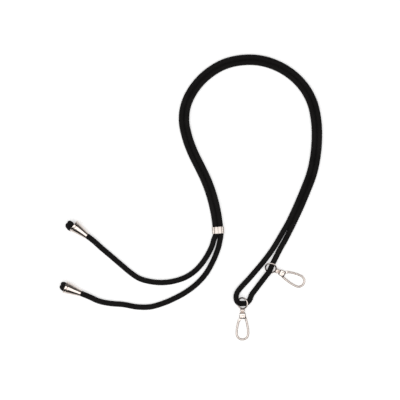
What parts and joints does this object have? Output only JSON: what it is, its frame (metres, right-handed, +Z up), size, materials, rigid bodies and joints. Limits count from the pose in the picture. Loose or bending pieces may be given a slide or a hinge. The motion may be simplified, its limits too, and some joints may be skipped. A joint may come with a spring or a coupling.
{
  "type": "adjustable cord strap with snap hooks",
  "caption": "Doubled braided cord strap with a sliding metal band, two bell end caps over knots and two swivel snap hooks.",
  "frame": {"origin": "middle of the strap's footprint, on the surface that it lies on", "axes": "+Z up out of that surface; +Y towards the top of the big loop; +X towards the side with the snap hooks"},
  "size_m": [0.2878, 0.3137, 0.0132],
  "materials": {
    "braid": "soft black round braided polyester cord",
    "nickel": "polished pale nickel with a slight champagne tint",
    "silicone": "matt dark silicone",
    "spring_steel": "drawn spring wire"
  },
  "bodies": {
    "strap_cord": {"cord": "braid", "knot_a": "braid", "knot_b": "braid"},
    "slider": {"slider_shell": "nickel", "slider_liner": "silicone"},
    "bell_cap_a": {"bell_a": "nickel"},
    "bell_cap_b": {"bell_b": "nickel"},
    "clasp_1_ring": {"clasp_1_eye": "nickel", "clasp_1_swivel_stud": "nickel"},
    "clasp_1_snap": {"clasp_1_hook": "nickel", "clasp_1_gate_rivet": "nickel", "clasp_1_gate_spring": "spring_steel"},
    "clasp_1_latch": {"clasp_1_gate": "nickel"},
    "clasp_2_ring": {"clasp_2_eye": "nickel", "clasp_2_swivel_stud": "nickel"},
    "clasp_2_snap": {"clasp_2_hook": "nickel", "clasp_2_gate_rivet": "nickel", "clasp_2_gate_spring": "spring_steel"},
    "clasp_2_latch": {"clasp_2_gate": "nickel"}
  },
  "joints": [
    {"name": "slider_travel", "type": "hinge", "parent": "strap_cord", "child": "slider", "pos_m": [-0.1425, -0.0479, 0.00336], "axis": [-0.0035, 0.0122, 0.9999], "range_deg": [0, 20]},
    {"name": "bell_a_slide", "type": "slide", "parent": "strap_cord", "child": "bell_cap_a", "axis": [-0.7903, 0.6064, 0.0872], "range_m": [-0.008, 0.006]},
    {"name": "bell_b_slide", "type": "slide", "parent": "strap_cord", "child": "bell_cap_b", "axis": [-0.9204, 0.3812, 0.0872], "range_m": [-0.008, 0.004]},
    {"name": "clasp_1_swing", "type": "hinge", "parent": "strap_cord", "child": "clasp_1_ring", "pos_m": [0.0566, -0.11535, 0.0043], "axis": [-0.9511, 0, 0.309], "range_deg": [0, 110]},
    {"name": "clasp_1_swivel", "type": "hinge", "parent": "clasp_1_ring", "child": "clasp_1_snap", "pos_m": [0.0566, -0.1159, 0.0044], "axis": [0, -0.9973, -0.0732], "continuous": true},
    {"name": "clasp_1_gate_turn", "type": "hinge", "parent": "clasp_1_snap", "child": "clasp_1_latch", "pos_m": [0.0566, -0.13046, 0.00333], "axis": [0, -0.0732, 0.9973], "range_deg": [0, 26], "stiffness_Nm_per_rad": 0.01, "springref_deg": -28.65, "deforming": ["clasp_1_gate_spring"]},
    {"name": "clasp_2_swing", "type": "hinge", "parent": "strap_cord", "child": "clasp_2_ring", "pos_m": [0.0876, -0.0773, 0.0044], "axis": [-0.4064, -0.8598, 0.309], "range_deg": [0, 110]},
    {"name": "clasp_2_swivel", "type": "hinge", "parent": "clasp_2_ring", "child": "clasp_2_snap", "pos_m": [0.0876, -0.0773, 0.0044], "axis": [0.9017, -0.4262, -0.0732], "continuous": true},
    {"name": "clasp_2_gate_turn", "type": "hinge", "parent": "clasp_2_snap", "child": "clasp_2_latch", "pos_m": [0.10076, -0.08352, 0.00333], "axis": [-0.0662, 0.0313, -0.9973], "range_deg": [0, 26], "stiffness_Nm_per_rad": 0.01, "springref_deg": -28.65, "deforming": ["clasp_2_gate_spring"]}
  ]
}
